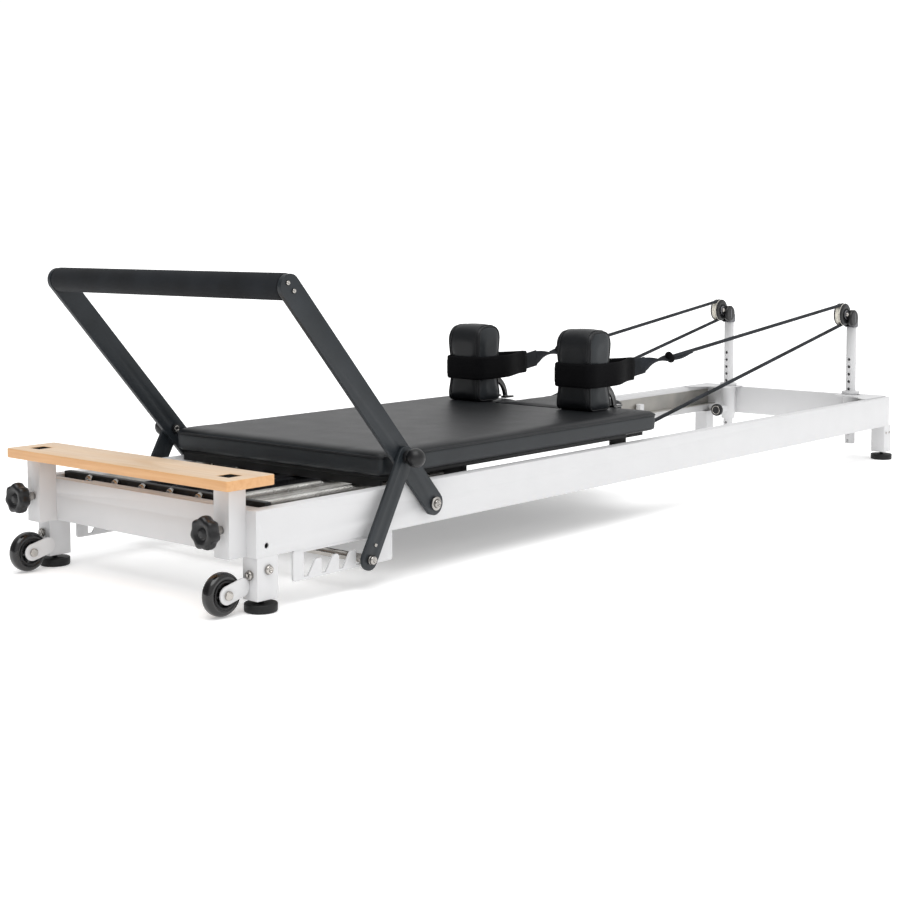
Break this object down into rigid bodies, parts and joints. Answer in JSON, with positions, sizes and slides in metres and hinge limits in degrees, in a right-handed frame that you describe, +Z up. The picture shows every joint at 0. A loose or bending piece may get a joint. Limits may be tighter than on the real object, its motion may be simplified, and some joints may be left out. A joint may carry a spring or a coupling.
{
  "type": "pilates reformer",
  "caption": "Low steel bed frame on which a sprung, upholstered carriage rolls, with a folding footbar, standing board, headrest, shoulder rests, risers, pulleys and rope straps.",
  "frame": {"origin": "on the floor under the middle of the whole machine", "axes": "+X from the foot end to the pulley end, +Y to the left seen from the foot end, +Z up"},
  "size_m": [2.5215, 0.7492, 0.5743],
  "materials": {
    "white_powder_coat": "satin powder coat",
    "track_aluminium": "extruded",
    "black_rubber": "matte",
    "black_powder_coat": "satin",
    "slate_powder_coat": "fine texture",
    "chrome_steel": "bright",
    "bare_steel": "drawn wire",
    "beech": "clear lacquer",
    "black_plastic": "moulded",
    "cream_nylon": "moulded",
    "foam_grip": "closed-cell foam",
    "black_vinyl": "grained vinyl",
    "black_webbing": "woven"
  },
  "bodies": {
    "frame": {"side_rail_right": "white_powder_coat", "side_rail_left": "white_powder_coat", "foot_crossbar": "white_powder_coat", "head_crossbar": "white_powder_coat", "head_gussets": "white_powder_coat", "running_tracks": "track_aluminium", "frame_legs": "white_powder_coat", "levelling_feet": "black_rubber", "spring_bar": "black_powder_coat", "spring_hooks": "chrome_steel", "notch_plates": "white_powder_coat", "pivot_bolts": "chrome_steel", "wheel_forks": "white_powder_coat", "wheel_axles": "chrome_steel", "riser_collars": "white_powder_coat", "carriage_stops": "black_rubber", "platform_board": "beech", "platform_posts": "white_powder_coat", "frame_bolts": "chrome_steel"},
    "transport_wheel_right": {"transport_tyre_right": "black_rubber", "transport_hub_right": "black_plastic"},
    "platform_knob_right": {"platform_knob_right": "black_plastic"},
    "riser_right": {"riser_tube_right": "white_powder_coat"},
    "riser_pin_right": {"riser_pin_right": "black_plastic"},
    "pulley_block_right": {"pulley_block_right": "black_plastic"},
    "pulley_sheave_right": {"pulley_sheave_right": "cream_nylon"},
    "carriage_wheel_foot_right": {"carriage_wheel_foot_right": "cream_nylon"},
    "carriage_wheel_head_right": {"carriage_wheel_head_right": "cream_nylon"},
    "transport_wheel_left": {"transport_tyre_left": "black_rubber", "transport_hub_left": "black_plastic"},
    "platform_knob_left": {"platform_knob_left": "black_plastic"},
    "riser_left": {"riser_tube_left": "white_powder_coat"},
    "riser_pin_left": {"riser_pin_left": "black_plastic"},
    "pulley_block_left": {"pulley_block_left": "black_plastic"},
    "pulley_sheave_left": {"pulley_sheave_left": "cream_nylon"},
    "carriage_wheel_foot_left": {"carriage_wheel_foot_left": "cream_nylon"},
    "carriage_wheel_head_left": {"carriage_wheel_head_left": "cream_nylon"},
    "footbar": {"footbar_arm_right": "slate_powder_coat", "footbar_arm_left": "slate_powder_coat", "footbar_tube": "bare_steel", "footbar_grip": "foam_grip", "footbar_screws": "chrome_steel", "strut_knobs": "black_plastic"},
    "struts": {"strut_right": "slate_powder_coat", "strut_left": "slate_powder_coat", "strut_cross_rod": "chrome_steel"},
    "carriage": {"carriage_frame": "black_powder_coat", "carriage_pad": "black_vinyl", "carriage_axles": "chrome_steel", "shoulder_brackets": "black_powder_coat", "shoulder_pad_right": "black_vinyl", "shoulder_pad_left": "black_vinyl", "strap_cuff_right": "black_webbing", "strap_cuff_left": "black_webbing", "rope_right": "black_webbing", "rope_left": "black_webbing", "tension_springs": "bare_steel", "headrest_hinge": "black_plastic"},
    "headrest": {"headrest_pad": "black_vinyl", "headrest_board": "beech"}
  },
  "joints": [
    {"name": "footbar_fold", "type": "hinge", "parent": "frame", "child": "footbar", "pos_m": [-0.74025, 0, 0.135], "axis": [0, 1, 0], "range_deg": [-48.05, 0]},
    {"name": "strut_swing", "type": "hinge", "parent": "footbar", "child": "struts", "pos_m": [-0.82683, 0, 0.23251], "axis": [0, 1, 0], "range_deg": [0, 85.99]},
    {"name": "carriage_slide", "type": "slide", "parent": "frame", "child": "carriage", "axis": [1, 0, 0], "range_m": [0, 0.85], "deforming": ["tension_springs", "rope_right", "rope_left"]},
    {"name": "transport_wheel_right_spin", "type": "hinge", "parent": "frame", "child": "transport_wheel_right", "pos_m": [-1.22325, -0.2745, 0.039], "axis": [0, 1, 0], "continuous": true},
    {"name": "platform_knob_right_turn", "type": "hinge", "parent": "frame", "child": "platform_knob_right", "pos_m": [-1.22625, -0.266, 0.144], "axis": [1, 0, 0], "continuous": true},
    {"name": "riser_right_height", "type": "slide", "parent": "frame", "child": "riser_right", "axis": [0, 0, 1], "range_m": [-0.0212, 0.0636]},
    {"name": "riser_pin_right_slide", "type": "slide", "parent": "frame", "child": "riser_pin_right", "axis": [-1, 0, 0], "range_m": [-0.006, 0]},
    {"name": "pulley_right_swivel", "type": "hinge", "parent": "riser_right", "child": "pulley_block_right", "pos_m": [1.22075, -0.2, 0.38], "axis": [0, 0, 1], "range_deg": [-60, 60]},
    {"name": "sheave_right_spin", "type": "hinge", "parent": "pulley_block_right", "child": "pulley_sheave_right", "pos_m": [1.16075, -0.2, 0.41], "axis": [0, 1, 0], "continuous": true},
    {"name": "carriage_wheel_foot_right_roll", "type": "hinge", "parent": "carriage", "child": "carriage_wheel_foot_right", "pos_m": [-0.74625, -0.27, 0.144], "axis": [0, 1, 0], "range_deg": [0, 2214.7]},
    {"name": "carriage_wheel_head_right_roll", "type": "hinge", "parent": "carriage", "child": "carriage_wheel_head_right", "pos_m": [-0.03625, -0.27, 0.144], "axis": [0, 1, 0], "range_deg": [0, 2214.7]},
    {"name": "transport_wheel_left_spin", "type": "hinge", "parent": "frame", "child": "transport_wheel_left", "pos_m": [-1.22325, 0.2745, 0.039], "axis": [0, 1, 0], "continuous": true},
    {"name": "platform_knob_left_turn", "type": "hinge", "parent": "frame", "child": "platform_knob_left", "pos_m": [-1.22625, 0.266, 0.144], "axis": [1, 0, 0], "continuous": true},
    {"name": "riser_left_height", "type": "slide", "parent": "frame", "child": "riser_left", "axis": [0, 0, 1], "range_m": [-0.0212, 0.0636]},
    {"name": "riser_pin_left_slide", "type": "slide", "parent": "frame", "child": "riser_pin_left", "axis": [-1, 0, 0], "range_m": [-0.006, 0]},
    {"name": "pulley_left_swivel", "type": "hinge", "parent": "riser_left", "child": "pulley_block_left", "pos_m": [1.22075, 0.2, 0.38], "axis": [0, 0, 1], "range_deg": [-60, 60]},
    {"name": "sheave_left_spin", "type": "hinge", "parent": "pulley_block_left", "child": "pulley_sheave_left", "pos_m": [1.16075, 0.2, 0.41], "axis": [0, 1, 0], "continuous": true},
    {"name": "carriage_wheel_foot_left_roll", "type": "hinge", "parent": "carriage", "child": "carriage_wheel_foot_left", "pos_m": [-0.74625, 0.27, 0.144], "axis": [0, 1, 0], "range_deg": [0, 2214.7]},
    {"name": "carriage_wheel_head_left_roll", "type": "hinge", "parent": "carriage", "child": "carriage_wheel_head_left", "pos_m": [-0.03625, 0.27, 0.144], "axis": [0, 1, 0], "range_deg": [0, 2214.7]},
    {"name": "headrest_tilt", "type": "hinge", "parent": "carriage", "child": "headrest", "pos_m": [-0.02625, 0, 0.235], "axis": [0, -1, 0], "range_deg": [0, 35]}
  ],
  "couplings": [
    {"joint": "strut_swing", "follows": "footbar_fold", "ratio": -1.7892},
    {"joint": "carriage_wheel_foot_right_roll", "follows": "carriage_slide", "rad_per_m": 45.455},
    {"joint": "carriage_wheel_head_right_roll", "follows": "carriage_slide", "rad_per_m": 45.455},
    {"joint": "carriage_wheel_foot_left_roll", "follows": "carriage_slide", "rad_per_m": 45.455},
    {"joint": "carriage_wheel_head_left_roll", "follows": "carriage_slide", "rad_per_m": 45.455}
  ]
}
